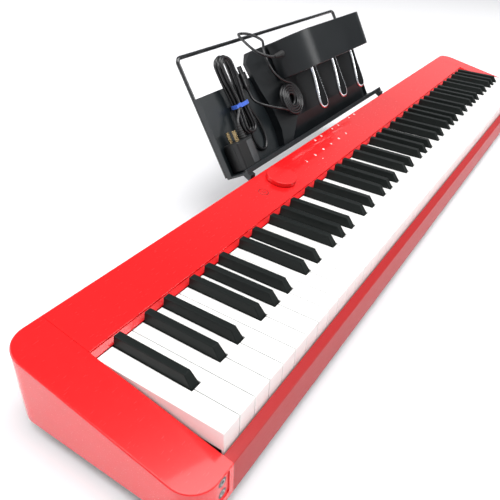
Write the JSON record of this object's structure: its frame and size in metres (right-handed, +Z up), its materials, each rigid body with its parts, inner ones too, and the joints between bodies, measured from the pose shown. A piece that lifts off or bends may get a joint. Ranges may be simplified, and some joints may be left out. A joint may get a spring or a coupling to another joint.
{
  "type": "slab digital piano",
  "caption": "Slab digital piano with hinged keys, volume knob, lift-off music rest, triple pedal unit and power adapter.",
  "frame": {"origin": "middle of the whole part's footprint, on the surface it stands on", "axes": "+X along the keyboard from bass to treble, +Y from the player towards the back, +Z up"},
  "size_m": [1.322, 0.363, 0.2662],
  "materials": {
    "red_gloss": "gloss",
    "red_front": "gloss",
    "white_key": "satin gloss",
    "black_key": "satin",
    "black_case": "matt",
    "black_socket": "satin",
    "steel": "zinc plated",
    "felt": "wool felt",
    "board": "solder resist",
    "speaker": "matt",
    "rubber": "matt",
    "rest_black": "satin",
    "wire_black": "satin",
    "pedal_black": "satin",
    "chrome": "polished",
    "brass": "plated",
    "cord_black": "satin",
    "tie_blue": "satin"
  },
  "bodies": {
    "case": {"lower_case": "black_case", "left_cheek": "red_gloss", "right_cheek": "red_gloss", "front_rail": "red_front", "top_panel": "red_gloss", "fallboard_strip": "red_gloss", "rear_panel": "black_case", "rear_sockets": "black_socket", "keybed_chassis": "steel", "key_pivot_shaft": "steel", "key_stop_felts": "felt", "key_contact_board": "board", "main_board": "board", "left_speaker": "speaker", "right_speaker": "speaker", "panel_board": "board", "volume_encoder": "steel", "headphone_jacks": "black_socket", "case_screws": "steel", "rubber_feet": "rubber"},
    "key_c4": {"key_c4": "white_key"},
    "key_c_sharp4": {"key_c_sharp4": "black_key"},
    "key_d4": {"key_d4": "white_key"},
    "key_d_sharp4": {"key_d_sharp4": "black_key"},
    "key_e4": {"key_e4": "white_key"},
    "key_f4": {"key_f4": "white_key"},
    "key_f_sharp4": {"key_f_sharp4": "black_key"},
    "key_g4": {"key_g4": "white_key"},
    "key_g_sharp4": {"key_g_sharp4": "black_key"},
    "key_a4": {"key_a4": "white_key"},
    "key_a_sharp4": {"key_a_sharp4": "black_key"},
    "key_b4": {"key_b4": "white_key"},
    "white_keys_lower": {"white_keys_lower": "white_key"},
    "black_keys_lower": {"black_keys_lower": "black_key"},
    "white_keys_upper": {"white_keys_upper": "white_key"},
    "black_keys_upper": {"black_keys_upper": "black_key"},
    "volume_knob": {"volume_knob": "red_gloss"},
    "power_button": {"power_button": "red_gloss"},
    "music_rest": {"rest_plate": "rest_black", "rest_wire": "wire_black", "rest_legs": "rest_black", "pedal_base": "pedal_black", "pedal_housing": "pedal_black", "pedal_axle": "steel", "pedal_gland": "rubber", "pedal_lead": "cord_black", "pedal_lead_coil": "cord_black", "pedal_lead_tail": "cord_black", "pedal_plug": "cord_black", "adapter_body": "black_case", "adapter_blades": "brass", "adapter_lead": "cord_black", "adapter_lead_hank": "cord_black", "adapter_lead_tail": "cord_black", "adapter_plug": "cord_black", "adapter_plug_tip": "steel", "cable_tie": "tie_blue"},
    "pedal_left": {"pedal_left": "chrome"},
    "pedal_centre": {"pedal_centre": "chrome"},
    "pedal_right": {"pedal_right": "chrome"}
  },
  "joints": [
    {"name": "key_c4_press", "type": "hinge", "parent": "case", "child": "key_c4", "pos_m": [-0.06365, 0.03033, 0.062], "axis": [1, 0, 0], "range_deg": [0, 2.9], "stiffness_Nm_per_rad": 2, "springref_deg": -3.44},
    {"name": "key_c_sharp4_press", "type": "hinge", "parent": "case", "child": "key_c_sharp4", "pos_m": [-0.04994, 0.03033, 0.062], "axis": [1, 0, 0], "range_deg": [0, 3.2], "stiffness_Nm_per_rad": 2, "springref_deg": -3.44},
    {"name": "key_d4_press", "type": "hinge", "parent": "case", "child": "key_d4", "pos_m": [-0.03623, 0.03033, 0.062], "axis": [1, 0, 0], "range_deg": [0, 2.9], "stiffness_Nm_per_rad": 2, "springref_deg": -3.44},
    {"name": "key_d_sharp4_press", "type": "hinge", "parent": "case", "child": "key_d_sharp4", "pos_m": [-0.02252, 0.03033, 0.062], "axis": [1, 0, 0], "range_deg": [0, 3.2], "stiffness_Nm_per_rad": 2, "springref_deg": -3.44},
    {"name": "key_e4_press", "type": "hinge", "parent": "case", "child": "key_e4", "pos_m": [-0.00881, 0.03033, 0.062], "axis": [1, 0, 0], "range_deg": [0, 2.9], "stiffness_Nm_per_rad": 2, "springref_deg": -3.44},
    {"name": "key_f4_press", "type": "hinge", "parent": "case", "child": "key_f4", "pos_m": [0.0049, 0.03033, 0.062], "axis": [1, 0, 0], "range_deg": [0, 2.9], "stiffness_Nm_per_rad": 2, "springref_deg": -3.44},
    {"name": "key_f_sharp4_press", "type": "hinge", "parent": "case", "child": "key_f_sharp4", "pos_m": [0.0186, 0.03033, 0.062], "axis": [1, 0, 0], "range_deg": [0, 3.2], "stiffness_Nm_per_rad": 2, "springref_deg": -3.44},
    {"name": "key_g4_press", "type": "hinge", "parent": "case", "child": "key_g4", "pos_m": [0.03231, 0.03033, 0.062], "axis": [1, 0, 0], "range_deg": [0, 2.9], "stiffness_Nm_per_rad": 2, "springref_deg": -3.44},
    {"name": "key_g_sharp4_press", "type": "hinge", "parent": "case", "child": "key_g_sharp4", "pos_m": [0.04602, 0.03033, 0.062], "axis": [1, 0, 0], "range_deg": [0, 3.2], "stiffness_Nm_per_rad": 2, "springref_deg": -3.44},
    {"name": "key_a4_press", "type": "hinge", "parent": "case", "child": "key_a4", "pos_m": [0.05973, 0.03033, 0.062], "axis": [1, 0, 0], "range_deg": [0, 2.9], "stiffness_Nm_per_rad": 2, "springref_deg": -3.44},
    {"name": "key_a_sharp4_press", "type": "hinge", "parent": "case", "child": "key_a_sharp4", "pos_m": [0.07344, 0.03033, 0.062], "axis": [1, 0, 0], "range_deg": [0, 3.2], "stiffness_Nm_per_rad": 2, "springref_deg": -3.44},
    {"name": "key_b4_press", "type": "hinge", "parent": "case", "child": "key_b4", "pos_m": [0.08715, 0.03033, 0.062], "axis": [1, 0, 0], "range_deg": [0, 2.9], "stiffness_Nm_per_rad": 2, "springref_deg": -3.44},
    {"name": "white_keys_lower_press", "type": "hinge", "parent": "case", "child": "white_keys_lower", "pos_m": [-0.35, 0.03033, 0.062], "axis": [1, 0, 0], "range_deg": [0, 2.9], "stiffness_Nm_per_rad": 46, "springref_deg": -3.44},
    {"name": "black_keys_lower_press", "type": "hinge", "parent": "case", "child": "black_keys_lower", "pos_m": [-0.35, 0.03033, 0.062], "axis": [1, 0, 0], "range_deg": [0, 3.2], "stiffness_Nm_per_rad": 32, "springref_deg": -3.44},
    {"name": "white_keys_upper_press", "type": "hinge", "parent": "case", "child": "white_keys_upper", "pos_m": [0.3, 0.03033, 0.062], "axis": [1, 0, 0], "range_deg": [0, 2.9], "stiffness_Nm_per_rad": 44, "springref_deg": -3.44},
    {"name": "black_keys_upper_press", "type": "hinge", "parent": "case", "child": "black_keys_upper", "pos_m": [0.3, 0.03033, 0.062], "axis": [1, 0, 0], "range_deg": [0, 3.2], "stiffness_Nm_per_rad": 30, "springref_deg": -3.44},
    {"name": "volume_knob_turn", "type": "hinge", "parent": "case", "child": "volume_knob", "pos_m": [-0.218, 0.01277, 0.09619], "axis": [0, -0.1965, 0.9805], "range_deg": [-150, 150]},
    {"name": "power_button_press", "type": "slide", "parent": "case", "child": "power_button", "axis": [0, 0.1965, -0.9805], "range_m": [0, 0.0008], "stiffness_N_per_m": 600, "springref_m": -0.0015},
    {"name": "music_rest_lift", "type": "slide", "parent": "case", "child": "music_rest", "axis": [0, 0, 1], "range_m": [0, 0.06]},
    {"name": "pedal_left_press", "type": "hinge", "parent": "music_rest", "child": "pedal_left", "pos_m": [-0.021, 0.09354, 0.23025], "axis": [1, 0, 0], "range_deg": [0, 9], "stiffness_Nm_per_rad": 6, "springref_deg": -8.59},
    {"name": "pedal_centre_press", "type": "hinge", "parent": "music_rest", "child": "pedal_centre", "pos_m": [0.054, 0.09354, 0.23025], "axis": [1, 0, 0], "range_deg": [0, 9], "stiffness_Nm_per_rad": 6, "springref_deg": -8.59},
    {"name": "pedal_right_press", "type": "hinge", "parent": "music_rest", "child": "pedal_right", "pos_m": [0.129, 0.09354, 0.23025], "axis": [1, 0, 0], "range_deg": [0, 9], "stiffness_Nm_per_rad": 6, "springref_deg": -8.59}
  ]
}
